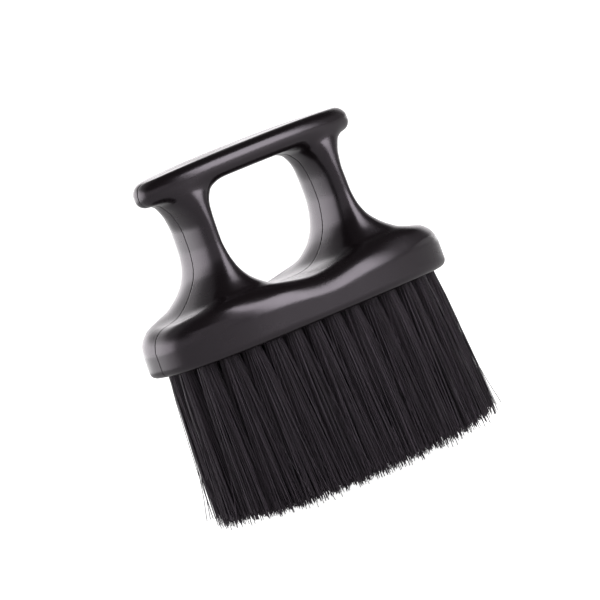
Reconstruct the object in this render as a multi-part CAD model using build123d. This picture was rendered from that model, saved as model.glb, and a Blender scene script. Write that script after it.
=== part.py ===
"""Neck duster brush: two welded handle shells over a block of anchored bristle tufts.

Millimetres. The brush stands upright on its bristle tips. Z = 0 is the plane of the cut tips, X runs along
the length of the base and the front of the handle faces -Y. The origin is under the middle of the base.
"""
import math
import os

from build123d import *

# ---------------------------------------------------------------- driving sizes
# Brush
bristle_free_length = 28.6  # from the underside of the base down to the cut tips
tuft_diameter = 3.2  # folded tuft where it leaves its hole
tip_gap = 0.35  # left between neighbouring tufts at their tips
outer_tufts = 29  # tufts in the ring nearest the edge
inner_tufts = 23  # tufts in the second ring
core_tufts = 8  # tufts in the row down the middle
core_pitch = 4.2  # along the middle row
flare_angle = 4.0  # outward lean of the outer tufts, degrees

# Base of the handle
base_length = 57.0
base_depth = 26.0
base_height = 7.2  # underside to the bottom of the finger hole
plan_power = 2.84  # squareness of the oval plan, 2 is a plain ellipse
crest_radius = 4.0  # upper edge of the base
rim_radius = 1.0  # lower edge of the base
wall = 1.5  # base wall round the tuft block
pocket_depth = 4.6  # hollow under the base that takes the tuft block

# Finger hole, posts and cross bar
handle_height = 31.7  # underside of the base to the top of the cross bar
hole_width = 23.0  # widest, between the posts
bar_thickness = 4.2
bar_length = 43.0
bar_depth = 12.0
bar_edge_radius = 1.9
post_width = 3.8  # narrowest, along X
post_depth = 11.4  # narrowest, along Y
foot_reach = 24.0  # how far out along X the foot of a post sweeps
foot_depth = 20.6  # along Y at the foot

# Fits
block_clearance = 0.1  # tuft block inside the base wall, each side
hole_clearance = 0.1  # tuft in its hole, each side
hole_land = 0.5  # material left between a tuft hole and the block's edge
block_recess = 0.3  # tuft block above the lower rim
peg_diameter = 1.6
peg_length = 2.0
peg_clearance = 0.1
hole_floor = 0.8  # block material left above a tuft hole

# Anchors
anchor_thickness = 0.4
anchor_height = 1.5

# ---------------------------------------------------------------- worked out from the sizes above
base_z = bristle_free_length
top_z = base_z + handle_height
half_length = base_length / 2
half_depth = base_depth / 2
hole_diameter = tuft_diameter + 2 * hole_clearance
block_inset = wall + block_clearance
block_bottom = base_z + block_recess
block_top = base_z + pocket_depth
hole_depth = block_top - block_bottom - hole_floor
ring_inset = block_inset + hole_land + hole_diameter / 2
ring_reach = half_length - ring_inset
ring_depth = half_depth - ring_inset
ring_spacing = ring_depth / 2  # the inner ring lies midway between the outer ring and the middle row
lean_slope = math.tan(math.radians(flare_angle))
tip_growth = 1 + lean_slope * block_bottom / ring_reach  # how far the leaning tufts draw apart at the tips


def oval_point(a, b, angle):
    """A point of the squared oval with half sizes a and b."""
    c = math.cos(angle)
    s = math.sin(angle)
    x = a * math.copysign(abs(c) ** (2 / plan_power), c)
    y = b * math.copysign(abs(s) ** (2 / plan_power), s)
    return (x, y)


def oval_face(a, b, z):
    """A squared oval as a flat face at height z."""
    steps = 48
    points = []
    for i in range(steps):
        x, y = oval_point(a, b, 2 * math.pi * (i + 0.5) / steps)
        points.append((x, y, z))
    return make_face(Spline(points, periodic=True))


def ring_places(a, b, count):
    """Evenly spaced places round a squared oval from the middle of its front side, and their pitch."""
    steps = 1440
    points = []
    for i in range(steps + 1):
        points.append(oval_point(a, b, -math.pi / 2 + 2 * math.pi * i / steps))
    lengths = [0.0]
    for i in range(steps):
        lengths.append(lengths[-1] + math.dist(points[i], points[i + 1]))
    places = []
    for k in range(count):
        wanted = lengths[-1] * k / count
        i = 0
        while lengths[i + 1] < wanted:
            i += 1
        t = (wanted - lengths[i]) / (lengths[i + 1] - lengths[i])
        x = points[i][0] + t * (points[i + 1][0] - points[i][0])
        y = points[i][1] + t * (points[i + 1][1] - points[i][1])
        places.append((x, y))
    return places, lengths[-1] / count


# ---------------------------------------------------------------- handle body, still in one
def base_body():
    """The oval base with its crest and lower edge rounded."""
    solid = extrude(oval_face(half_length, half_depth, base_z), base_height)
    solid = fillet(solid.faces().sort_by(Axis.Z)[-1].edges(), crest_radius)
    return fillet(solid.faces().sort_by(Axis.Z)[0].edges(), rim_radius)


def bar_body():
    """The cross bar over the finger hole."""
    solid = extrude(oval_face(bar_length / 2, bar_depth / 2, top_z - bar_thickness), bar_thickness)
    solid = fillet(solid.faces().sort_by(Axis.Z)[-1].edges(), bar_edge_radius)
    return fillet(solid.faces().sort_by(Axis.Z)[0].edges(), bar_edge_radius)


def post_body():
    """The right-hand post: narrow in the middle, swept out wide into the base and into the bar."""
    low = base_z + base_height
    high = top_z - bar_thickness
    waist_in = hole_width / 2
    waist_out = waist_in + post_width
    # share of the way from base to bar, then how far the inner, outer and front faces have swept
    # toward the waist (0 is the foot, 1 is the waist)
    sweep = [(-0.03, 0.00, 0.00, 0.00), (0.04, 0.41, 0.21, 0.07), (0.11, 0.65, 0.49, 0.18),
             (0.20, 0.85, 0.72, 0.38), (0.30, 0.94, 0.90, 0.62), (0.52, 1.00, 1.00, 1.00),
             (0.70, 0.98, 0.95, 1.00), (0.84, 0.90, 0.75, 0.96), (0.94, 0.68, 0.46, 0.92),
             (1.03, 0.25, 0.16, 0.88)]
    sections = []
    for share, inner, outer, front in sweep:
        z = low + (high - low) * share
        reach = foot_reach if share < 0.5 else bar_length / 2 - bar_edge_radius
        x_in = waist_in * inner + 1.5 * (1 - inner)
        x_out = reach + (waist_out - reach) * outer
        depth = foot_depth + (post_depth - foot_depth) * front if share < 0.5 else post_depth * 0.96
        depth = depth if share < 0.8 else min(depth, bar_depth - bar_edge_radius)
        oval = oval_face((x_out - x_in) / 2, depth / 2, z)
        sections.append(Pos((x_in + x_out) / 2, 0, 0) * oval)
    return loft(sections)


post_right = post_body()
post_left = mirror(post_right, about=Plane.YZ)
handle = base_body() + bar_body() + post_right + post_left
pocket = extrude(oval_face(half_length - wall, half_depth - wall, base_z - 1), pocket_depth + 1)
handle = handle - pocket

# ---------------------------------------------------------------- the two shells
half_box = Box(base_length * 2, base_depth, top_z * 2)
front_shell = handle & (Pos(0, -base_depth / 2, base_z) * half_box)
rear_shell = handle & (Pos(0, base_depth / 2, base_z) * half_box)

# Pegs on the front shell, one in each post and one near each end of the bar
post_middle = (hole_width + post_width) / 2
peg_places = []
for side in (-1, 1):
    peg_places.append((side * post_middle, base_z + handle_height * 0.56))
    peg_places.append((side * bar_length * 0.30, top_z - bar_thickness / 2))
for x, z in peg_places:
    turn = Pos(x, 0, z) * Rot(-90, 0, 0)
    align = (Align.CENTER, Align.CENTER, Align.MIN)
    front_shell = front_shell + turn * Cylinder(peg_diameter / 2, peg_length, align=align)
    socket = Cylinder(peg_diameter / 2 + peg_clearance, peg_length + peg_clearance, align=align)
    rear_shell = rear_shell - turn * socket

# ---------------------------------------------------------------- tufts, their holes and anchors
outer_places, outer_pitch = ring_places(ring_reach, ring_depth, outer_tufts)
inner_places, inner_pitch = ring_places(ring_reach - ring_spacing, ring_depth - ring_spacing, inner_tufts)
core_places = []
for i in range(core_tufts):
    core_places.append(((i - (core_tufts - 1) / 2) * core_pitch, 0.0))


def tuft_frame(x, y):
    """The frame of a tuft: its origin in the block's lower face, its Z along the tuft toward the tip."""
    out = (lean_slope * x / ring_reach, lean_slope * y / ring_depth, -1.0)
    return Plane(origin=(x, y, block_bottom), x_dir=(1, 0, out[0]), z_dir=out)


def tuft_body(x, y, pitch):
    """One tuft: straight in its hole, spreading below it, cut flat at the tips, notched for its anchor."""
    frame = tuft_frame(x, y)
    length = block_bottom * 1.02
    root = hole_depth - hole_clearance
    up = (Align.CENTER, Align.CENTER, Align.MAX)
    down = (Align.CENTER, Align.CENTER, Align.MIN)
    tip_radius = (pitch * tip_growth - tip_gap) / 2
    solid = frame * Cylinder(tuft_diameter / 2, root, align=up)
    solid = solid + frame * Cone(tuft_diameter / 2, tip_radius, length, align=down)
    solid = solid - Box(base_length * 2, base_depth * 2, 20, align=up)
    notch = Box(tuft_diameter * 2, anchor_thickness, anchor_height, align=down)
    return solid - frame * Pos(0, 0, -root) * notch


def anchor_body(x, y):
    """The flat metal anchor across the fold of one tuft."""
    frame = tuft_frame(x, y)
    down = (Align.CENTER, Align.CENTER, Align.MIN)
    plate = Box(tuft_diameter, anchor_thickness, anchor_height, align=down)
    return frame * Pos(0, 0, hole_clearance - hole_depth) * plate


block = extrude(oval_face(half_length - block_inset, half_depth - block_inset, block_bottom),
                block_top - block_bottom)
drills = []
for x, y in outer_places + inner_places + core_places:
    middle = (Align.CENTER, Align.CENTER, Align.MAX)
    drill = Cylinder(hole_diameter / 2, hole_depth + 1, align=middle)
    drills.append(tuft_frame(x, y) * Pos(0, 0, 1) * drill)
tuft_block = block - drills

outer_solids = [tuft_body(x, y, outer_pitch) for x, y in outer_places]
inner_solids = [tuft_body(x, y, inner_pitch) for x, y in inner_places]
core_solids = [tuft_body(x, y, core_pitch) for x, y in core_places]
anchors = [anchor_body(x, y) for x, y in outer_places + inner_places + core_places]

# ---------------------------------------------------------------- files
os.makedirs("parts", exist_ok=True)
export_step(front_shell, "parts/front_shell.step")
export_step(rear_shell, "parts/rear_shell.step")
export_step(tuft_block, "parts/tuft_block.step")
export_step(Compound(children=anchors), "parts/tuft_anchors.step")
export_step(Compound(children=core_solids), "parts/tufts_core.step")
for i, solid in enumerate(outer_solids):
    export_step(solid, f"parts/tuft_outer_{i + 1:02d}.step")
for i, solid in enumerate(inner_solids):
    export_step(solid, f"parts/tuft_inner_{i + 1:02d}.step")
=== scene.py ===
"""Neck duster brush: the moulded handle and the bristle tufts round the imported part, and a plain studio."""

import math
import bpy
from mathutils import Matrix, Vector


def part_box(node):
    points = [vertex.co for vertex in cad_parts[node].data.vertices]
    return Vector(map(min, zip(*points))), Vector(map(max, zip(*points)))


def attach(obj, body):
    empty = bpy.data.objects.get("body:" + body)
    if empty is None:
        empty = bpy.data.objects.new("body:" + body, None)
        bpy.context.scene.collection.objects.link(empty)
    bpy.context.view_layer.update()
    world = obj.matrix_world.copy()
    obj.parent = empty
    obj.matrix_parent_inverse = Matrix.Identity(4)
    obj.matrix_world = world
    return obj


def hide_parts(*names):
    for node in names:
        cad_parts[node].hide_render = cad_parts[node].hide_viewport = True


bl_info = {
    "name": "Neck Duster Brush",
    "version": (1, 0, 0),
    "blender": (4, 5, 0),
    "location": "3D View > Sidebar > Neck Duster",
    "description": "Builds the handle shells, the bristle tufts and a studio for a neck duster brush",
    "category": "Object",
}

import bpy
import numpy as np
from mathutils import Matrix, Vector

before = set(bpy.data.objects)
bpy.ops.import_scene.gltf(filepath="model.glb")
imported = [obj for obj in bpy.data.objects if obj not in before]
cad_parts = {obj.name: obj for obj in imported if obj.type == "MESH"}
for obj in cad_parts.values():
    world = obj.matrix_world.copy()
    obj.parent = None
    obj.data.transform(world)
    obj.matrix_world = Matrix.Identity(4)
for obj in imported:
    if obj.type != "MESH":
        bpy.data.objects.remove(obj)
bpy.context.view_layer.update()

MM = 0.001
BODY = "root"  # the one body that every piece rides on
SHELL_LOW, SHELL_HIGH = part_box("front_shell")
BLOCK_LOW, BLOCK_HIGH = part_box("tuft_block")
HALF_LENGTH = SHELL_HIGH[0]
HALF_DEPTH = -SHELL_LOW[1]
BASE_Z = SHELL_LOW[2]
TOP_Z = SHELL_HIGH[2]

GOLDEN_ANGLE = math.pi * (3 - math.sqrt(5))
SHEEN = "#fbf0fd"  # the faint cast of highlights on dyed black plastic
MATH = "ShaderNodeMath"
VECTOR = "ShaderNodeVectorMath"


# ---------------------------------------------------------------- settings
class HandleSettings(bpy.types.PropertyGroup):
    """Sizes and finish of the moulded handle."""

    base_height: bpy.props.FloatProperty(
        name="Base height", description="Underside of the base to the bottom of the finger hole",
        default=7.45 * MM, unit="LENGTH", precision=5)
    plan_power: bpy.props.FloatProperty(
        name="Plan squareness", description="2 is a plain ellipse, more is squarer", default=2.84, min=2,
        max=6)
    crest_radius: bpy.props.FloatProperty(
        name="Crest radius", description="Rounding of the base's upper edge", default=3.9 * MM,
        unit="LENGTH", precision=5)
    rim_radius: bpy.props.FloatProperty(
        name="Rim radius", description="Rounding of the base's lower edge", default=1.1 * MM,
        unit="LENGTH", precision=5)
    saddle_drop: bpy.props.FloatProperty(
        name="Saddle drop", description="How far the base's top falls away in front of the finger hole",
        default=0.2 * MM, unit="LENGTH", precision=5)
    foot_lift: bpy.props.FloatProperty(
        name="Foot lift", description="How far the base's top rises in front of the posts",
        default=1.2 * MM, unit="LENGTH", precision=5)
    blend: bpy.props.FloatProperty(
        name="Blend", description="Softness where the posts run into the base and the bar",
        default=1.2 * MM, unit="LENGTH", precision=5)
    wall: bpy.props.FloatProperty(
        name="Wall", description="Base wall round the tuft block", default=1.5 * MM, unit="LENGTH",
        precision=5)
    pocket_depth: bpy.props.FloatProperty(
        name="Pocket depth", description="Hollow that takes the tuft block", default=4.6 * MM,
        unit="LENGTH", precision=5)
    bar_half_length: bpy.props.FloatProperty(
        name="Bar half length", description="Middle of the cross bar to its end", default=21.5 * MM,
        unit="LENGTH", precision=5)
    bar_half_depth: bpy.props.FloatProperty(
        name="Bar half depth", description="Parting plane to the front of the cross bar",
        default=6.0 * MM, unit="LENGTH", precision=5)
    bar_thickness: bpy.props.FloatProperty(
        name="Bar thickness", description="Underside to top of the cross bar", default=4.2 * MM,
        unit="LENGTH", precision=5)
    seam: bpy.props.FloatProperty(
        name="Seam", description="Bevel on each shell along the parting line", default=0.1 * MM,
        unit="LENGTH", precision=6)
    mesh_step: bpy.props.FloatProperty(
        name="Mesh step", description="Spacing of the mesh over the shells", default=0.3 * MM,
        unit="LENGTH", precision=5)
    colour: bpy.props.StringProperty(
        name="Colour", description="Moulded plastic, sRGB hex", default="#110d0f")
    worn_colour: bpy.props.StringProperty(
        name="Worn colour", description="Moulded plastic where it is handled, sRGB hex",
        default="#141012")
    roughness: bpy.props.FloatProperty(
        name="Roughness", description="Roughness of the moulded surface", default=0.25, min=0, max=1,
        subtype="FACTOR")


class BristleSettings(bpy.types.PropertyGroup):
    """Sizes and finish of the bristle tufts."""

    strands: bpy.props.IntProperty(
        name="Strands", description="Filaments in each outer tuft", default=440, min=10, max=600)
    hidden_share: bpy.props.FloatProperty(
        name="Hidden share", description="Share of the strands in each tuft behind the outer ring",
        default=0.6, min=0.1, max=1, subtype="FACTOR")
    strand_diameter: bpy.props.FloatProperty(
        name="Strand diameter", description="Thickness of one filament", default=0.13 * MM,
        unit="LENGTH", precision=6)
    root_radius: bpy.props.FloatProperty(
        name="Root radius", description="Radius of a tuft in its hole", default=1.5 * MM, unit="LENGTH",
        precision=5)
    tip_radius: bpy.props.FloatProperty(
        name="Tip radius", description="Radius of a tuft at its cut end", default=3.2 * MM,
        unit="LENGTH", precision=5)
    raggedness: bpy.props.FloatProperty(
        name="Raggedness", description="Share of the length by which strands fall short", default=0.09,
        min=0, max=0.5, subtype="FACTOR")
    wander: bpy.props.FloatProperty(
        name="Wander", description="How far a strand's end strays from its place", default=0.75 * MM,
        unit="LENGTH", precision=5)
    clumping: bpy.props.FloatProperty(
        name="Clumping", description="How far strands gather into small locks at the tips", default=0.4,
        min=0, max=1, subtype="FACTOR")
    stray_share: bpy.props.FloatProperty(
        name="Stray share", description="Share of strands that stand out from their tuft", default=0.012,
        min=0, max=0.2, subtype="FACTOR")
    stray_lean: bpy.props.FloatProperty(
        name="Stray lean", description="How far a stray's end stands out", default=2.8 * MM,
        unit="LENGTH", precision=5)
    comb: bpy.props.FloatProperty(
        name="Comb", description="Sideways set of the tips along the base's length", default=1.1 * MM,
        unit="LENGTH", precision=5)
    cut_middle: bpy.props.FloatProperty(
        name="Cut middle", description="Where along the base the tufts are longest", default=-8.0 * MM,
        unit="LENGTH", precision=5)
    left_trim: bpy.props.FloatProperty(
        name="Left trim", description="How much shorter the tufts at the left end are cut",
        default=1.9 * MM, unit="LENGTH", precision=5)
    right_trim: bpy.props.FloatProperty(
        name="Right trim", description="How much shorter the tufts at the right end are cut",
        default=2.1 * MM, unit="LENGTH", precision=5)
    dark_colour: bpy.props.StringProperty(
        name="Dark colour", description="Darkest filaments, sRGB hex", default="#120e12")
    light_colour: bpy.props.StringProperty(
        name="Light colour", description="Lightest filaments, sRGB hex", default="#362f36")


class StageSettings(bpy.types.PropertyGroup):
    """Camera, floor and lights."""

    azimuth: bpy.props.FloatProperty(
        name="Azimuth", description="Camera direction round the brush, degrees", default=-32.2)
    elevation: bpy.props.FloatProperty(
        name="Elevation", description="Camera height above the horizon, degrees", default=4.52)
    roll: bpy.props.FloatProperty(
        name="Roll", description="Tilt of the camera about its own axis, degrees", default=19.91)
    distance: bpy.props.FloatProperty(
        name="Distance", description="Camera to the underside of the base", default=1000 * MM,
        unit="LENGTH")
    lens: bpy.props.FloatProperty(
        name="Lens", description="Focal length in millimetres", default=360.7, unit="CAMERA")
    offset_right: bpy.props.FloatProperty(
        name="Offset right", description="Middle of the base, right of the picture's middle",
        default=0.11 * MM, unit="LENGTH", precision=5)
    offset_up: bpy.props.FloatProperty(
        name="Offset up", description="Middle of the base, above the picture's middle",
        default=-3.54 * MM, unit="LENGTH", precision=5)
    front_wall: bpy.props.FloatProperty(
        name="Front wall", description="Brightness of the studio behind the camera", default=0.5, min=0)
    back_wall: bpy.props.FloatProperty(
        name="Back wall", description="Brightness of the studio behind the brush", default=2.4, min=0)
    left_wall: bpy.props.FloatProperty(
        name="Left wall", description="How much brighter the left of the studio is", default=1.7, min=0)
    floor_behind: bpy.props.FloatProperty(
        name="Floor behind", description="Brightness of the floor behind the brush", default=3.2, min=0)
    ceiling: bpy.props.FloatProperty(
        name="Ceiling", description="Brightness of the studio ceiling", default=0.08, min=0)
    ceiling_start: bpy.props.FloatProperty(
        name="Ceiling start", description="Height on the view sphere where the walls darken",
        default=0.3, min=0, max=1)
    key: bpy.props.FloatProperty(
        name="Key", description="Brightness of the key softbox, where the walls are 1", default=8.0,
        min=0)


# ---------------------------------------------------------------- small helpers
def linear(hex_colour):
    """An sRGB hex colour as linear RGBA."""
    values = []
    for start in (1, 3, 5):
        v = int(hex_colour[start:start + 2], 16) / 255
        values.append(v / 12.92 if v <= 0.04045 else ((v + 0.055) / 1.055) ** 2.4)
    return (*values, 1.0)


def add_node(tree, kind, links=None, **settings):
    """Adds a node with its settings. Its inputs take values, sockets, or nodes for their first output."""
    node = tree.nodes.new(kind)
    for name, value in settings.items():
        setattr(node, name, value)
    for socket, source in (links or {}).items():
        if isinstance(source, bpy.types.Node):
            source = source.outputs[0]
        if isinstance(source, bpy.types.NodeSocket):
            tree.links.new(source, node.inputs[socket])
        else:
            node.inputs[socket].default_value = source
    return node


def new_material(name):
    """An empty node material and its node tree."""
    material = bpy.data.materials.new(name)
    material.use_nodes = True
    material.node_tree.nodes.clear()
    return material, material.node_tree


def add_piece(name, mesh):
    """A finished piece at the origin, riding on the brush's one body."""
    piece = bpy.data.objects.new(name, mesh)
    bpy.context.scene.collection.objects.link(piece)
    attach(piece, BODY)
    return piece


# ---------------------------------------------------------------- materials
def moulded_abs(name, colour, worn_colour, roughness):
    """ABS, injection moulded in a finely spark-textured tool: black, semi-gloss, soft-edged highlights."""
    material, tree = new_material(name)
    place = add_node(tree, "ShaderNodeTexCoord").outputs["Object"]
    # tool texture, about 0.25 mm from grain to grain
    grain = add_node(tree, "ShaderNodeTexNoise", {"Vector": place, "Scale": 4000.0, "Detail": 2.0,
                                                  "Roughness": 0.6})
    # slow flow marks and handling wear, about 8 mm across
    flow = add_node(tree, "ShaderNodeTexNoise", {"Vector": place, "Scale": 125.0, "Detail": 3.0})
    rough = add_node(tree, "ShaderNodeMapRange", {"Value": flow, "From Min": 0.3, "From Max": 0.7,
                                                  "To Min": roughness - 0.04, "To Max": roughness + 0.05})
    tone = add_node(tree, "ShaderNodeValToRGB", {"Fac": flow})
    tone.color_ramp.elements[0].color = linear(colour)
    tone.color_ramp.elements[1].color = linear(worn_colour)
    bump = add_node(tree, "ShaderNodeBump", {"Height": grain, "Strength": 0.12, "Distance": 0.02 * MM})
    surface = add_node(tree, "ShaderNodeBsdfPrincipled", {
        "Base Color": tone, "Roughness": rough, "Normal": bump, "IOR": 1.5,
        "Specular Tint": linear(SHEEN)})
    add_node(tree, "ShaderNodeOutputMaterial", {"Surface": surface})
    return material


def nylon_filament(name, dark_colour, light_colour):
    """Nylon 6 filament, drawn and dyed black: a soft sheen along it, and a tone that differs by strand."""
    material, tree = new_material(name)
    strand = add_node(tree, "ShaderNodeAttribute", attribute_name="strand_tone").outputs["Fac"]
    tone = add_node(tree, "ShaderNodeValToRGB", {"Fac": strand})
    tone.color_ramp.elements[0].color = linear(dark_colour)
    tone.color_ramp.elements[1].color = linear(light_colour)
    rough = add_node(tree, "ShaderNodeMapRange", {"Value": strand, "To Min": 0.3, "To Max": 0.5})
    surface = add_node(tree, "ShaderNodeBsdfPrincipled", {
        "Base Color": tone, "Roughness": rough, "IOR": 1.53, "Specular Tint": linear(SHEEN)})
    add_node(tree, "ShaderNodeOutputMaterial", {"Surface": surface})
    return material


def drilled_abs(name):
    """ABS block stock, sawn and drilled: flat black with fine tool marks."""
    material, tree = new_material(name)
    place = add_node(tree, "ShaderNodeTexCoord").outputs["Object"]
    # cutter marks, about 0.4 mm apart
    marks = add_node(tree, "ShaderNodeTexNoise", {"Vector": place, "Scale": 2500.0, "Detail": 3.0})
    bump = add_node(tree, "ShaderNodeBump", {"Height": marks, "Strength": 0.3, "Distance": 0.03 * MM})
    tone = add_node(tree, "ShaderNodeValToRGB", {"Fac": marks})
    tone.color_ramp.elements[0].color = linear("#131212")
    tone.color_ramp.elements[1].color = linear("#1d1c1c")
    surface = add_node(tree, "ShaderNodeBsdfPrincipled", {
        "Base Color": tone, "Roughness": 0.6, "Normal": bump, "IOR": 1.53})
    add_node(tree, "ShaderNodeOutputMaterial", {"Surface": surface})
    return material


def drawn_wire(name):
    """Mild steel anchor wire, drawn and cut: grey metal with streaks along the draw."""
    material, tree = new_material(name)
    place = add_node(tree, "ShaderNodeTexCoord").outputs["Object"]
    # streaks about 0.3 mm wide
    streaks = add_node(tree, "ShaderNodeTexNoise", {"Vector": place, "Scale": 3000.0, "Detail": 2.0})
    rough = add_node(tree, "ShaderNodeMapRange", {"Value": streaks, "To Min": 0.25, "To Max": 0.5})
    surface = add_node(tree, "ShaderNodeBsdfPrincipled", {
        "Base Color": linear("#a9a9a6"), "Metallic": 1.0, "Roughness": rough})
    add_node(tree, "ShaderNodeOutputMaterial", {"Surface": surface})
    return material


def finish_node(name, material):
    """Gives a CAD node that stays in view its material."""
    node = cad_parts[name]
    if not node.material_slots:
        node.data.materials.append(material)
    for slot in node.material_slots:
        slot.material = material


# ---------------------------------------------------------------- handle
# Height above the base's underside, the inner and the outer face of a post along X and its half depth, in mm,
# and its squareness
POST_TABLE = (
    (6.0, 1.5, 25.5, 10.8, 3.8),
    (7.3, 4.2, 24.2, 10.5, 3.8),
    (8.4, 6.3, 22.1, 9.9, 3.6),
    (9.5, 7.8, 20.4, 9.0, 3.2),
    (11.3, 9.4, 18.4, 7.8, 2.7),
    (13.4, 10.5, 16.8, 6.8, 2.5),
    (15.6, 11.1, 16.0, 6.1, 2.5),
    (18.0, 11.4, 15.7, 5.8, 2.5),
    (21.0, 11.3, 15.7, 5.7, 2.5),
    (24.0, 10.7, 16.4, 5.5, 2.4),
    (26.2, 9.2, 17.8, 5.3, 2.3),
    (27.6, 7.0, 18.9, 5.0, 2.4),
    (28.8, 4.6, 19.4, 4.6, 2.4),
)

# The form of the base's top and of the bar, in mm
SADDLE_WIDTH = 9.0  # along X, the fall in front of the finger hole
FOOT_WIDTH = 6.0  # along X, what the lift before the posts leaves out in the middle
FRONT_REACH = 10.0  # from the parting plane to where the fall and the lift are full
SHOULDER_START = 10.0  # along X, where the top begins to rise toward its ends
SHOULDER_LENGTH = 12.0
SHOULDER_RISE = 0.3
KNEE = 0.3  # softness where the fall and the lift fade out down the base's side, in base heights
EDGE_SPLIT = 2.4  # height between the rounding of the lower edge and of the crest
BAR_CROWN = 0.7  # how much lower the bar's top is at its ends
BAR_LOW_RADIUS = 1.9
BAR_TOP_RADIUS = 2.0
HALF_GAP = 0.01  # between a shell and the parting plane


def smooth_column(heights, values):
    """A smooth curve through a table's column, with no overshoot between its rows."""
    h = np.diff(heights)
    steps = np.diff(values) / h
    slopes = np.zeros(len(values))
    slopes[0], slopes[-1] = steps[0], steps[-1]
    for i in range(1, len(values) - 1):
        if steps[i - 1] * steps[i] > 0:
            slopes[i] = 2 * steps[i - 1] * steps[i] / (steps[i - 1] + steps[i])

    def curve(z):
        z = np.clip(z, heights[0], heights[-1])
        i = np.clip(np.searchsorted(heights, z) - 1, 0, len(h) - 1)
        t = (z - heights[i]) / h[i]
        return ((2 * t**3 - 3 * t**2 + 1) * values[i] + (t**3 - 2 * t**2 + t) * h[i] * slopes[i]
                + (3 * t**2 - 2 * t**3) * values[i + 1] + (t**3 - t**2) * h[i] * slopes[i + 1])

    return curve


def oval_distance(x, y, a, b, power):
    """Distance outside a squared oval with half sizes a and b, negative inside."""
    u = np.abs(x) / a + 1e-6
    v = np.abs(y) / b + 1e-6
    r = (u**power + v**power) ** (1 / power)
    slope = np.hypot((u / r) ** (power - 1) / a, (v / r) ** (power - 1) / b)
    return (r - 1) / slope


def slab_distance(side, z, low, high, split, low_radius, high_radius):
    """Distance outside a flat-ended solid whose walls are at side, with its two edges rounded."""
    upper = z > split
    radius = np.where(upper, high_radius, low_radius)
    wall = side + radius
    end = np.where(upper, z - high, low - z) + radius
    return np.minimum(np.maximum(wall, end), 0) + np.hypot(np.maximum(wall, 0), np.maximum(end, 0)) - radius


def soft_union(a, b, softness):
    """The lower of two values with a fillet between them, which for distances is their union."""
    h = np.clip(0.5 + 0.5 * (b - a) / softness, 0, 1)
    return b + (a - b) * h - softness * h * (1 - h)


def handle_distance(settings):
    """A function that gives the distance outside the whole handle, in mm, at points x, y, z."""
    half_length, half_depth = HALF_LENGTH / MM, HALF_DEPTH / MM
    top = (TOP_Z - BASE_Z) / MM
    height = settings.base_height / MM
    power = settings.plan_power
    blend = settings.blend / MM
    drop = settings.saddle_drop / MM
    lift = settings.foot_lift / MM
    wall = settings.wall / MM
    rim_radius = settings.rim_radius / MM
    crest_radius = settings.crest_radius / MM
    bar_low = top - settings.bar_thickness / MM
    bar_a, bar_b = settings.bar_half_length / MM, settings.bar_half_depth / MM
    table = np.array(POST_TABLE)
    inner, outer, depth, square = (smooth_column(table[:, 0], table[:, i]) for i in (1, 2, 3, 4))
    post_low, post_high = table[0, 0], table[-1, 0]

    def post_side(x, y, z):
        middle = (inner(z) + outer(z)) / 2
        half = (outer(z) - inner(z)) / 2
        return oval_distance(np.abs(x) - middle, y, half, depth(z), square(z))

    def distance(x, y, z):
        # the top falls away in front of the finger hole and rises before the posts and toward the ends
        outward = np.minimum((y / FRONT_REACH) ** 2, 1)
        rise = np.clip((np.abs(x) - SHOULDER_START) / SHOULDER_LENGTH, 0, 1)
        fall = drop * outward * np.exp(-(x / SADDLE_WIDTH) ** 2) - SHOULDER_RISE * rise**2 * (3 - 2 * rise)
        fall -= lift * outward * (1 - np.exp(-(x / FOOT_WIDTH) ** 2))
        fade = np.maximum(soft_union(z / height, 1.0, KNEE), 0)
        side = oval_distance(x, y, half_length, half_depth, power)
        base = slab_distance(side, z + fall * fade, 0.0, height, EDGE_SPLIT, rim_radius, crest_radius)
        crown = BAR_CROWN * (np.abs(x) / bar_a) ** 2.5
        side = oval_distance(x, y, bar_a, bar_b, power)
        bar_middle = (bar_low + top) / 2
        bar = slab_distance(side, z + crown, bar_low, top, bar_middle, BAR_LOW_RADIUS, BAR_TOP_RADIUS)
        side = post_side(x, y, z)
        slope = (post_side(x, y, z + 0.05) - post_side(x, y, z - 0.05)) / 0.1
        post = side / np.sqrt(1 + slope**2)
        post = np.maximum(post, np.maximum(post_low - z, z - post_high))
        body = soft_union(soft_union(base, post, blend), bar, blend)
        pocket = oval_distance(x, y, half_length - wall, half_depth - wall, power)
        pocket = np.maximum(pocket, z - settings.pocket_depth / MM)
        return np.maximum(body, -pocket)

    return distance


def front_half(distance, seam):
    """The part of the handle in front of the parting plane, with the seam's edge bevelled."""
    def half(x, y, z):
        d = distance(x, y, z)
        plane = y + HALF_GAP
        bevel = (d + plane + seam) / math.sqrt(2)
        return np.maximum(np.maximum(d, plane), bevel)

    return half


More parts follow.
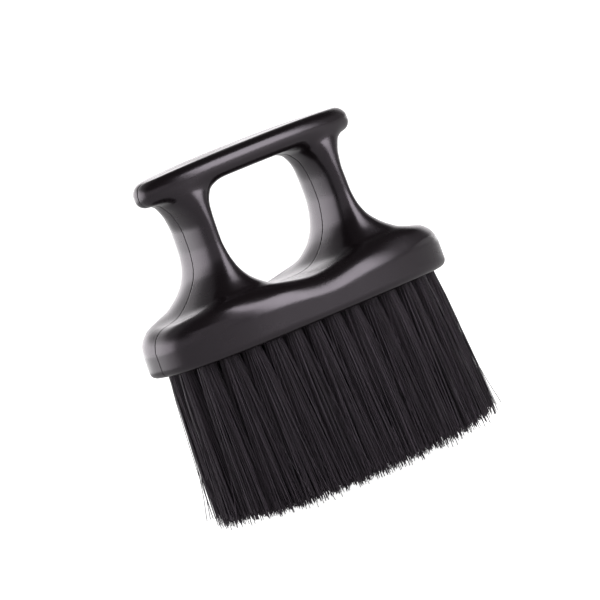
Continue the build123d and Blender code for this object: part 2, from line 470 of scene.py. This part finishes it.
def skin(field, axes):
    """A closed, outward-facing quad mesh where a field sampled on the grid of axes changes sign."""
    x, y, z = np.meshgrid(*axes, indexing="ij")
    values = field(x, y, z)
    shape = np.array(values.shape) - 1
    cells, points, quads = [], [], []
    for axis in range(3):
        other = [(axis + 1) % 3, (axis + 2) % 3]
        a = np.take(values, range(0, shape[axis]), axis)
        b = np.take(values, range(1, shape[axis] + 1), axis)
        place = np.argwhere((a < 0) != (b < 0))
        va, vb = a[tuple(place.T)], b[tuple(place.T)]
        share = va / (va - vb)
        point = np.stack([axes[k][place[:, k]] for k in range(3)], 1)
        line = axes[axis]
        point[:, axis] += share * (line[place[:, axis] + 1] - line[place[:, axis]])
        around = []
        for du, dv in ((-1, -1), (0, -1), (0, 0), (-1, 0)):
            cell = place.copy()
            cell[:, other[0]] += du
            cell[:, other[1]] += dv
            number = (cell[:, 0] * shape[1] + cell[:, 1]) * shape[2] + cell[:, 2]
            cells.append(number)
            points.append(point)
            around.append(number)
        quad = np.stack(around, 1)
        quad[va > 0] = quad[va > 0][:, ::-1]
        quads.append(quad)
    cells = np.concatenate(cells)
    points = np.concatenate(points)
    quads = np.concatenate(quads)
    used, index = np.unique(cells, return_inverse=True)
    counts = np.bincount(index)
    vertices = np.stack([np.bincount(index, points[:, k]) / counts for k in range(3)], 1)
    quads = np.searchsorted(used, quads)
    return vertices, quads


def settle(field, vertices, rounds=4, step=0.02, reach=0.25):
    """Moves vertices on to the field's zero surface."""
    start = vertices.copy()
    for _ in range(rounds):
        x, y, z = vertices.T
        value = field(x, y, z)
        slope = np.stack([
            (field(x + step, y, z) - field(x - step, y, z)) / (2 * step),
            (field(x, y + step, z) - field(x, y - step, z)) / (2 * step),
            (field(x, y, z + step) - field(x, y, z - step)) / (2 * step)], 1)
        size = np.maximum((slope**2).sum(1), 0.2)
        vertices = vertices - (value / size)[:, None] * slope
        vertices = start + np.clip(vertices - start, -reach, reach)
    return vertices


def shell_mesh(name, vertices, quads, material):
    """A smooth-shaded mesh in metres from millimetres above the base's underside."""
    mesh = bpy.data.meshes.new(name)
    places = vertices * MM
    places[:, 2] += BASE_Z
    mesh.from_pydata(places.tolist(), [], quads.tolist())
    mesh.polygons.foreach_set("use_smooth", [True] * len(mesh.polygons))
    mesh.set_sharp_from_angle(angle=math.radians(38))
    mesh.materials.append(material)
    mesh.validate()
    mesh.update()
    return mesh


class DUSTER_OT_handle(bpy.types.Operator):
    """Builds the front and the rear handle shell"""

    bl_idname = "neck_duster.handle"
    bl_label = "Handle shells"

    def execute(self, context):
        settings = context.scene.duster_handle
        step = settings.mesh_step / MM
        seam = settings.seam / MM
        field = front_half(handle_distance(settings), seam)
        margin = 1  # of empty grid round the handle, mm
        reach_x = HALF_LENGTH / MM + margin
        reach_y = HALF_DEPTH / MM + margin
        top = (TOP_Z - BASE_Z) / MM + margin
        # close rows by the parting plane, then even ones
        near_seam = np.array([0.08, -0.02, -0.09, -0.18, -0.3, -0.46, -0.68])
        far = np.arange(-0.95, -reach_y, -step)
        axes = (np.arange(-reach_x, reach_x + step, step), np.concatenate([near_seam, far])[::-1].copy(),
                np.arange(-margin, top + step, step))
        vertices, quads = skin(field, axes)
        if len(quads) == 0:
            raise RuntimeError("the handle has no surface")
        vertices = settle(field, vertices)
        material = moulded_abs("black_moulded_abs", settings.colour, settings.worn_colour,
                               settings.roughness)
        for name, node, mirror in (("handle_front", "front_shell", 1), ("handle_rear", "rear_shell", -1)):
            faces = quads if mirror == 1 else quads[:, ::-1]
            piece = add_piece(name, shell_mesh(name, vertices * (1, mirror, 1), faces, material))
            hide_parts(node)
        return {"FINISHED"}


# ---------------------------------------------------------------- bristles
# The tuft tree's inputs that are settings of the same name
TUFT_SETTINGS = ("Root Radius", "Tip Radius", "Strand Diameter", "Raggedness", "Wander", "Clumping",
                 "Stray Share", "Stray Lean")
FIRST_SEED = 17


def tuft_tree():
    """A node tree that fills each root-to-tip axis of its input mesh with filaments."""
    tree = bpy.data.node_groups.new("bristle_tuft", "GeometryNodeTree")
    kinds = {"Axes": "NodeSocketGeometry", "Strands": "NodeSocketInt", "Seed": "NodeSocketInt",
             "Hole Share": "NodeSocketFloat", "Finish": "NodeSocketMaterial"}
    kinds.update((name, "NodeSocketFloat") for name in TUFT_SETTINGS)
    sockets = {}
    for name, kind in kinds.items():
        sockets[name] = tree.interface.new_socket(name, in_out="INPUT", socket_type=kind).identifier
    tree.interface.new_socket("Tufts", in_out="OUTPUT", socket_type="NodeSocketGeometry")
    given = add_node(tree, "NodeGroupInput").outputs

    # one point for each filament of each tuft; an axis is two points of the input
    size = add_node(tree, "GeometryNodeAttributeDomainSize", {0: given["Axes"]}, component="MESH")
    tufts = add_node(tree, MATH, {0: size, 1: 2.0}, operation="DIVIDE")
    total = add_node(tree, MATH, {0: tufts, 1: given["Strands"]}, operation="MULTIPLY")
    points = add_node(tree, "GeometryNodePoints", {"Count": total})
    index = add_node(tree, "GeometryNodeInputIndex")
    middle = add_node(tree, MATH, {0: index, 1: 0.5}, operation="ADD")
    count = add_node(tree, MATH, {0: middle, 1: given["Strands"]}, operation="DIVIDE")
    tuft = add_node(tree, MATH, {0: count}, operation="FLOOR")
    share = add_node(tree, MATH, {0: count}, operation="FRACT")
    position = add_node(tree, "GeometryNodeInputPosition")
    ends = []
    for shift in (0.0, 1.0):
        number = add_node(tree, MATH, {0: tuft, 1: 2.0, 2: shift}, operation="MULTIPLY_ADD")
        ends.append(add_node(tree, "GeometryNodeSampleIndex", {
            "Geometry": given["Axes"], "Value": position, "Index": number},
            data_type="FLOAT_VECTOR", domain="POINT"))

    # three draws for each filament: off its mark in the hole, its luck, and which way it bows
    draws = []
    for salt, low, high in ((1, (-0.05, -0.05, 0), (0.05, 0.05, 0)), (2, (0, 0, 0), (1, 1, 1)),
                            (3, (-1, -1, 0), (1, 1, 0))):
        seed = add_node(tree, MATH, {0: given["Seed"], 1: salt}, operation="ADD")
        draws.append(add_node(tree, "FunctionNodeRandomValue", {"Min": low, "Max": high, "Seed": seed},
                              data_type="FLOAT_VECTOR"))
    off_mark, luck, bow = draws

    # places packed evenly over the round hole, in hole radii
    strand = add_node(tree, MATH, {0: share, 1: given["Strands"]}, operation="MULTIPLY")
    turn = add_node(tree, MATH, {0: strand, 1: GOLDEN_ANGLE}, operation="MULTIPLY")
    radius = add_node(tree, MATH, {0: share}, operation="SQRT")
    arm = add_node(tree, "ShaderNodeCombineXYZ", {0: radius})
    disc = add_node(tree, "ShaderNodeVectorRotate", {"Vector": arm, "Angle": turn}, rotation_type="Z_AXIS")
    disc = add_node(tree, VECTOR, {0: disc, 1: off_mark}, operation="ADD")
    # small locks that the strands gather into at their tips, in a part of the pattern that is the tuft's own
    shift_x = add_node(tree, MATH, {0: tuft, 1: 7.31}, operation="MULTIPLY")
    shift_y = add_node(tree, MATH, {0: given["Seed"], 1: 3.17}, operation="MULTIPLY")
    shift = add_node(tree, "ShaderNodeCombineXYZ", {0: shift_x, 1: shift_y})
    shifted = add_node(tree, VECTOR, {0: disc, 1: shift}, operation="ADD")
    cell = add_node(tree, "ShaderNodeTexVoronoi", {"Vector": shifted, "Scale": 3.6},
                    voronoi_dimensions="2D")
    lock = add_node(tree, VECTOR, {0: cell.outputs["Position"], 1: shift}, operation="SUBTRACT")

    # a straight curve on each point, which keeps what the point knows
    line = points
    known = {"strand_root": ends[0], "strand_tip": ends[1], "strand_place": disc, "strand_lock": lock,
             "strand_luck": luck, "strand_bow": bow}
    for name, value in known.items():
        line = add_node(tree, "GeometryNodeStoreNamedAttribute", {
            "Geometry": line, "Name": name, "Value": value}, data_type="FLOAT_VECTOR")
    curve = add_node(tree, "GeometryNodeCurvePrimitiveLine", {"End": (0, 0, 1)})
    curve = add_node(tree, "GeometryNodeResampleCurve", {"Curve": curve, "Count": 8})
    placed = add_node(tree, "GeometryNodeInstanceOnPoints", {"Points": line, "Instance": curve})
    strands = add_node(tree, "GeometryNodeRealizeInstances", {0: placed})
    root, tip, place, lock, luck, bow = (
        add_node(tree, "GeometryNodeInputNamedAttribute", {"Name": name}, data_type="FLOAT_VECTOR")
        for name in known)
    chance = add_node(tree, "ShaderNodeSeparateXYZ", {0: luck}).outputs
    along = add_node(tree, "GeometryNodeSplineParameter")

    # raggedness: most strands fall short and a few reach the full length, those of a lock partly together
    level = add_node(tree, "ShaderNodeTexWhiteNoise", {"Vector": lock}, noise_dimensions="3D")
    level = add_node(tree, MATH, {0: level, 1: 3.0}, operation="POWER")
    level = add_node(tree, MATH, {0: level, 1: 0.25}, operation="MULTIPLY")
    own = add_node(tree, MATH, {0: chance[0], 1: 3.0}, operation="POWER")
    short = add_node(tree, MATH, {0: own, 1: 0.75, 2: level}, operation="MULTIPLY_ADD")
    full = add_node(tree, MATH, {0: 1.0, 1: given["Raggedness"]}, operation="SUBTRACT")
    cut = add_node(tree, MATH, {0: short, 1: given["Raggedness"], 2: full}, operation="MULTIPLY_ADD")
    reach = add_node(tree, MATH, {0: along, 1: cut}, operation="MULTIPLY")
    free = add_node(tree, "ShaderNodeMapRange", {"Value": reach, "From Min": given["Hole Share"]})

    # out of the hole the tuft opens, and its strands gather into the locks
    span = add_node(tree, VECTOR, {0: tip, 1: root}, operation="SUBTRACT")
    span = add_node(tree, VECTOR, {0: span, "Scale": reach}, operation="SCALE")
    opened = add_node(tree, MATH, {0: free, 1: 0.62}, operation="POWER")
    growth = add_node(tree, MATH, {0: given["Tip Radius"], 1: given["Root Radius"]}, operation="SUBTRACT")
    spread = add_node(tree, MATH, {0: opened, 1: growth, 2: given["Root Radius"]}, operation="MULTIPLY_ADD")
    gather = add_node(tree, MATH, {0: free, 1: 2.5}, operation="POWER")
    gather = add_node(tree, MATH, {0: gather, 1: given["Clumping"]}, operation="MULTIPLY")
    to_lock = add_node(tree, VECTOR, {0: lock, 1: place}, operation="SUBTRACT")
    to_lock = add_node(tree, VECTOR, {0: to_lock, "Scale": gather}, operation="SCALE")
    across = add_node(tree, VECTOR, {0: place, 1: to_lock}, operation="ADD")
    across = add_node(tree, VECTOR, {0: across, "Scale": spread}, operation="SCALE")

    # each strand's end drifts, its middle bows a little, and a few strays lean out of the tuft
    swing = add_node(tree, MATH, {0: free, 1: 1.25}, operation="POWER")
    swing = add_node(tree, MATH, {0: swing, 1: given["Wander"]}, operation="MULTIPLY")
    drift = add_node(tree, VECTOR, {0: bow, "Scale": swing}, operation="SCALE")
    half_turn = add_node(tree, MATH, {0: free, 1: math.pi}, operation="MULTIPLY")
    belly = add_node(tree, MATH, {0: half_turn}, operation="SINE")
    belly = add_node(tree, MATH, {0: belly, 1: given["Wander"]}, operation="MULTIPLY")
    side = add_node(tree, VECTOR, {0: luck, 1: (0.35, 0.35, 0), 2: (-0.175, -0.175, 0)},
                    operation="MULTIPLY_ADD")
    belly = add_node(tree, VECTOR, {0: side, "Scale": belly}, operation="SCALE")
    stray = add_node(tree, MATH, {0: chance[1], 1: given["Stray Share"]}, operation="LESS_THAN")
    stray = add_node(tree, MATH, {0: stray, 1: given["Stray Lean"]}, operation="MULTIPLY")
    late = add_node(tree, MATH, {0: free, 1: 3.2}, operation="POWER")
    stray = add_node(tree, MATH, {0: stray, 1: late}, operation="MULTIPLY")
    lean = add_node(tree, VECTOR, {0: place, "Scale": stray}, operation="SCALE")
    where = root
    for step in (span, across, drift, belly, lean):
        where = add_node(tree, VECTOR, {0: where, 1: step}, operation="ADD")
    strands = add_node(tree, "GeometryNodeSetPosition", {"Geometry": strands, "Position": where})
    strands = add_node(tree, "GeometryNodeStoreNamedAttribute", {
        "Geometry": strands, "Name": "strand_tone", "Value": chance[2]}, data_type="FLOAT")

    # a three-sided filament, drawn thinner toward its cut end
    end = add_node(tree, MATH, {0: free, 1: 4.0}, operation="POWER")
    thin = add_node(tree, MATH, {0: end, 1: -0.6, 2: 1.0}, operation="MULTIPLY_ADD")
    strands = add_node(tree, "GeometryNodeSetCurveRadius", {"Curve": strands, "Radius": thin})
    half = add_node(tree, MATH, {0: given["Strand Diameter"], 1: 2.0}, operation="DIVIDE")
    profile = add_node(tree, "GeometryNodeCurvePrimitiveCircle", {"Resolution": 3, "Radius": half})
    mesh = add_node(tree, "GeometryNodeCurveToMesh", {"Curve": strands, "Profile Curve": profile,
                                                      "Fill Caps": True})
    mesh = add_node(tree, "GeometryNodeSetShadeSmooth", {"Geometry": mesh})
    mesh = add_node(tree, "GeometryNodeRealizeInstances", {0: mesh})
    mesh = add_node(tree, "GeometryNodeSetMaterial", {"Geometry": mesh, "Material": given["Finish"]})
    add_node(tree, "NodeGroupOutput", {0: mesh})
    return tree, sockets


def spans(values, gap):
    """Splits sorted values into runs parted by more than gap."""
    values = np.sort(values)
    cuts = np.nonzero(np.diff(values) > gap)[0] + 1
    return [(run.min(), run.max()) for run in np.split(values, cuts)]


def tuft_roots(node):
    """The middle of each tuft's root in a CAD node, in metres."""
    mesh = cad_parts[node].data
    places = np.empty(len(mesh.vertices) * 3)
    mesh.vertices.foreach_get("co", places)
    places = places.reshape(-1, 3)
    tops = places[places[:, 2] > places[:, 2].max() - 0.3 * MM]
    roots = []
    for low, high in spans(tops[:, 0], 0.9 * MM):
        top = tops[(tops[:, 0] >= low) & (tops[:, 0] <= high)]
        roots.append((top.min(0) + top.max(0)) / 2)
    return roots


def cut_tip(root, settings):
    """The middle of a tuft's cut end, combed to one side and trimmed shorter toward the base's ends."""
    past = root[0] - settings.cut_middle
    end, trim = (HALF_LENGTH, settings.right_trim) if past > 0 else (-HALF_LENGTH, settings.left_trim)
    return (root[0] + settings.comb, root[1], trim * (past / (end - settings.cut_middle)) ** 3)


class DUSTER_OT_bristles(bpy.types.Operator):
    """Fills every tuft with filaments"""

    bl_idname = "neck_duster.bristles"
    bl_label = "Bristle tufts"

    def execute(self, context):
        settings = context.scene.duster_bristles
        tree, sockets = tuft_tree()
        material = nylon_filament("black_nylon_filament", settings.dark_colour, settings.light_colour)
        names = sorted(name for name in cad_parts
                       if name.startswith(("tuft_outer", "tuft_inner", "tufts_core")))
        if not names:
            raise RuntimeError("the frame has no tufts")
        for number, name in enumerate(names):
            points = []
            for root in tuft_roots(name):
                points += [tuple(root), cut_tip(root, settings)]
            axes = bpy.data.meshes.new("tuft_axes")
            axes.from_pydata(points, [(i, i + 1) for i in range(0, len(points), 2)], [])
            carrier = bpy.data.objects.new("tuft_axes", axes)
            context.scene.collection.objects.link(carrier)
            fill = carrier.modifiers.new("tuft", "NODES")
            fill.node_group = tree
            hole = (points[0][2] - BLOCK_LOW[2]) / (points[0][2] - points[1][2])
            share = 1.0 if name.startswith("tuft_outer") else settings.hidden_share
            inputs = {"Strands": int(settings.strands * share), "Hole Share": hole, "Finish": material,
                      "Seed": FIRST_SEED + number}
            for label in TUFT_SETTINGS:
                inputs[label] = getattr(settings, label.lower().replace(" ", "_"))
            for label, value in inputs.items():
                fill[sockets[label]] = value
            carrier.update_tag()
            graph = context.evaluated_depsgraph_get()
            mesh = bpy.data.meshes.new_from_object(carrier.evaluated_get(graph))
            bpy.data.objects.remove(carrier)
            mesh.name = "bristles_" + name
            piece = add_piece("bristles_" + name, mesh)
            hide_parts(name)
        return {"FINISHED"}


# ---------------------------------------------------------------- block and anchors
class DUSTER_OT_block(bpy.types.Operator):
    """Gives the tuft block and the anchors their finish"""

    bl_idname = "neck_duster.block"
    bl_label = "Tuft block and anchors"

    def execute(self, context):
        finish_node("tuft_block", drilled_abs("black_drilled_abs"))
        finish_node("tuft_anchors", drawn_wire("drawn_steel_wire"))
        return {"FINISHED"}


# ---------------------------------------------------------------- stage
def add_light(name, size, energy, place, target):
    """A soft rectangular light aimed at a point, itself out of the camera's sight."""
    light = bpy.data.lights.new(name, "AREA")
    light.shape = "RECTANGLE"
    light.size, light.size_y = size
    light.energy = energy
    holder = bpy.data.objects.new(name, light)
    holder.location = place
    holder.visible_camera = False
    holder.rotation_mode = "QUATERNION"
    holder.rotation_quaternion = (Vector(target) - Vector(place)).to_track_quat("-Z", "Y")
    bpy.context.scene.collection.objects.link(holder)


class DUSTER_OT_stage(bpy.types.Operator):
    """Sets the camera, the pale floor and the soft lights"""

    bl_idname = "neck_duster.stage"
    bl_label = "Stage"

    def execute(self, context):
        settings = context.scene.duster_stage
        scene = context.scene
        scene.view_settings.view_transform = "Standard"
        a, e, r = (math.radians(v) for v in (settings.azimuth, settings.elevation, settings.roll))
        back = Vector((math.sin(a) * math.cos(e), -math.cos(a) * math.cos(e), math.sin(e)))
        level = Vector((math.cos(a), math.sin(a), 0))
        upright = back.cross(level)
        right = level * math.cos(r) - upright * math.sin(r)
        up = level * math.sin(r) + upright * math.cos(r)
        middle = Vector((0, 0, BASE_Z))
        camera = bpy.data.objects.new("camera", bpy.data.cameras.new("camera"))
        camera.data.lens = settings.lens
        camera.data.sensor_width = 36.0
        camera.data.clip_start, camera.data.clip_end = 0.01, 50.0
        place = middle + back * settings.distance - right * settings.offset_right - up * settings.offset_up
        camera.matrix_world = Matrix.Translation(place) @ Matrix((right, up, back)).transposed().to_4x4()
        scene.collection.objects.link(camera)
        scene.camera = camera

        # matt white acrylic sweep, faintly lit from below: seen directly it is evenly white, and what it
        # throws on the brush is dimmer in front than behind
        material, tree = new_material("white_acrylic_sweep")
        place = add_node(tree, "ShaderNodeTexCoord").outputs["Object"]
        behind = add_node(tree, "ShaderNodeSeparateXYZ", {0: place}).outputs["Y"]
        lit = add_node(tree, "ShaderNodeMapRange", {"Value": behind, "From Min": 0.15, "From Max": 0.55,
                                                    "To Min": 0.35, "To Max": settings.floor_behind})
        direct = add_node(tree, "ShaderNodeLightPath").outputs["Is Camera Ray"]
        shown = add_node(tree, "ShaderNodeMapRange", {"Value": direct, "To Min": lit, "To Max": 1.0})
        surface = add_node(tree, "ShaderNodeBsdfPrincipled", {
            "Base Color": linear("#b4b4b3"), "Roughness": 0.8, "Emission Color": linear("#ffffff"),
            "Emission Strength": shown})
        add_node(tree, "ShaderNodeOutputMaterial", {"Surface": surface})
        mesh = bpy.data.meshes.new("floor")
        half = 6.0
        mesh.from_pydata([(-half, -half, 0), (half, -half, 0), (half, half, 0), (-half, half, 0)], [],
                         [(0, 1, 2, 3)])
        mesh.materials.append(material)
        floor = bpy.data.objects.new("floor", mesh)
        scene.collection.objects.link(floor)

        # white all round near the horizon, brightest behind and to the left, fading to a dark ceiling
        world = bpy.data.worlds.new("studio")
        world.use_nodes = True
        tree = world.node_tree
        tree.nodes.clear()
        seen = add_node(tree, "ShaderNodeBackground", {"Color": linear("#ffffff"), "Strength": 1.0})
        way = add_node(tree, "ShaderNodeTexCoord").outputs["Generated"]
        way = add_node(tree, "ShaderNodeSeparateXYZ", {0: way}).outputs
        glow = 1.0
        for axis, start, end, low, high in (
                ("X", -0.6, 1.0, settings.left_wall, 0.6),
                ("Y", 0.15, 0.5, settings.front_wall, settings.back_wall),
                ("Z", settings.ceiling_start, settings.ceiling_start + 0.3, 1.0, settings.ceiling)):
            part = add_node(tree, "ShaderNodeMapRange", {
                "Value": way[axis], "From Min": start, "From Max": end, "To Min": low, "To Max": high},
                interpolation_type="SMOOTHSTEP")
            glow = add_node(tree, MATH, {0: glow, 1: part}, operation="MULTIPLY")
        fill = add_node(tree, "ShaderNodeBackground", {"Color": linear("#fdfafc"), "Strength": glow})
        direct = add_node(tree, "ShaderNodeLightPath").outputs["Is Camera Ray"]
        mixed = add_node(tree, "ShaderNodeMixShader", {0: direct, 1: fill, 2: seen})
        add_node(tree, "ShaderNodeOutputWorld", {"Surface": mixed})
        scene.world = world

        # one softbox, front right and above
        target = (0, 0, 30 * MM)
        turn, rise, away = math.radians(30), math.radians(28), 0.6
        place = (away * math.cos(rise) * math.sin(turn), -away * math.cos(rise) * math.cos(turn),
                 away * math.sin(rise))
        width, tall = 0.27, 0.44
        add_light("key_softbox", (width, tall), settings.key * width * tall * math.pi, place, target)
        return {"FINISHED"}


# ---------------------------------------------------------------- panel and registration
OPERATORS = (DUSTER_OT_handle, DUSTER_OT_bristles, DUSTER_OT_block, DUSTER_OT_stage)
GROUPS = (("duster_handle", HandleSettings), ("duster_bristles", BristleSettings),
          ("duster_stage", StageSettings))


class DUSTER_PT_panel(bpy.types.Panel):
    """Sidebar panel of the neck duster brush"""

    bl_idname = "DUSTER_PT_panel"
    bl_label = "Neck Duster"
    bl_space_type = "VIEW_3D"
    bl_region_type = "UI"
    bl_category = "Neck Duster"

    def draw(self, context):
        for name, group in GROUPS:
            column = self.layout.column(align=True)
            for prop in group.__annotations__:
                column.prop(getattr(context.scene, name), prop)
        for operator in OPERATORS:
            self.layout.operator(operator.bl_idname)


def register():
    for name, group in GROUPS:
        bpy.utils.register_class(group)
        setattr(bpy.types.Scene, name, bpy.props.PointerProperty(type=group))
    for kind in (*OPERATORS, DUSTER_PT_panel):
        bpy.utils.register_class(kind)


def unregister():
    for kind in (DUSTER_PT_panel, *reversed(OPERATORS)):
        bpy.utils.unregister_class(kind)
    for name, group in reversed(GROUPS):
        delattr(bpy.types.Scene, name)
        bpy.utils.unregister_class(group)


def main():
    register()
    bpy.ops.neck_duster.stage()
    bpy.ops.neck_duster.handle()
    bpy.ops.neck_duster.bristles()
    bpy.ops.neck_duster.block()


if __name__ == "__main__":
    main()
